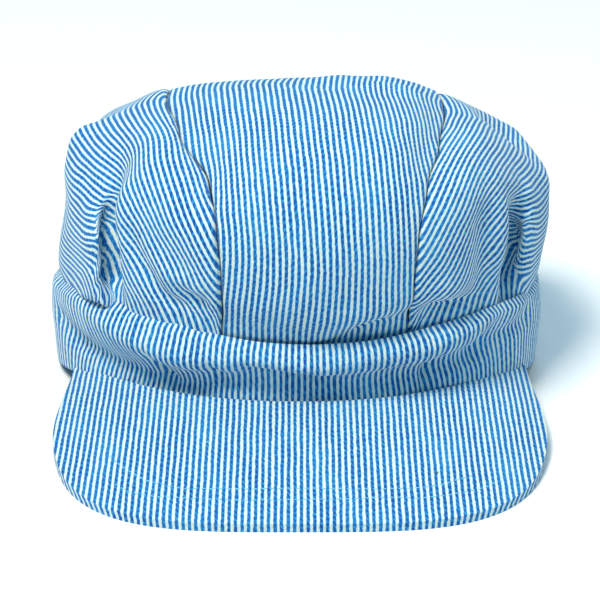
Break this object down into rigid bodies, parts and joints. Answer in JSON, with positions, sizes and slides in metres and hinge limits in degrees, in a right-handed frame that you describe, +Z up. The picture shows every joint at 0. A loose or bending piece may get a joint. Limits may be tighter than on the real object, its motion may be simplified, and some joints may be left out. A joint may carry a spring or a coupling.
{
  "type": "railroad engineer cap",
  "caption": "Soft cloth work cap with a puffed panelled crown gathered on a head band, and a flat cloth-covered peak that shades the eyes.",
  "frame": {"origin": "middle of the bottom of the cap's box, on the surface it rests on", "axes": "+Z up, -Y towards the free edge of the peak, +X to the right of someone who faces the cap from the front"},
  "size_m": [0.2012, 0.236, 0.1239],
  "materials": {
    "striped_cotton": "matt cotton twill with narrow blue and white stripes"
  },
  "bodies": {
    "root": {"centre_panel": "striped_cotton", "left_side_panel": "striped_cotton", "right_side_panel": "striped_cotton", "band": "striped_cotton", "peak": "striped_cotton"}
  },
  "joints": []
}
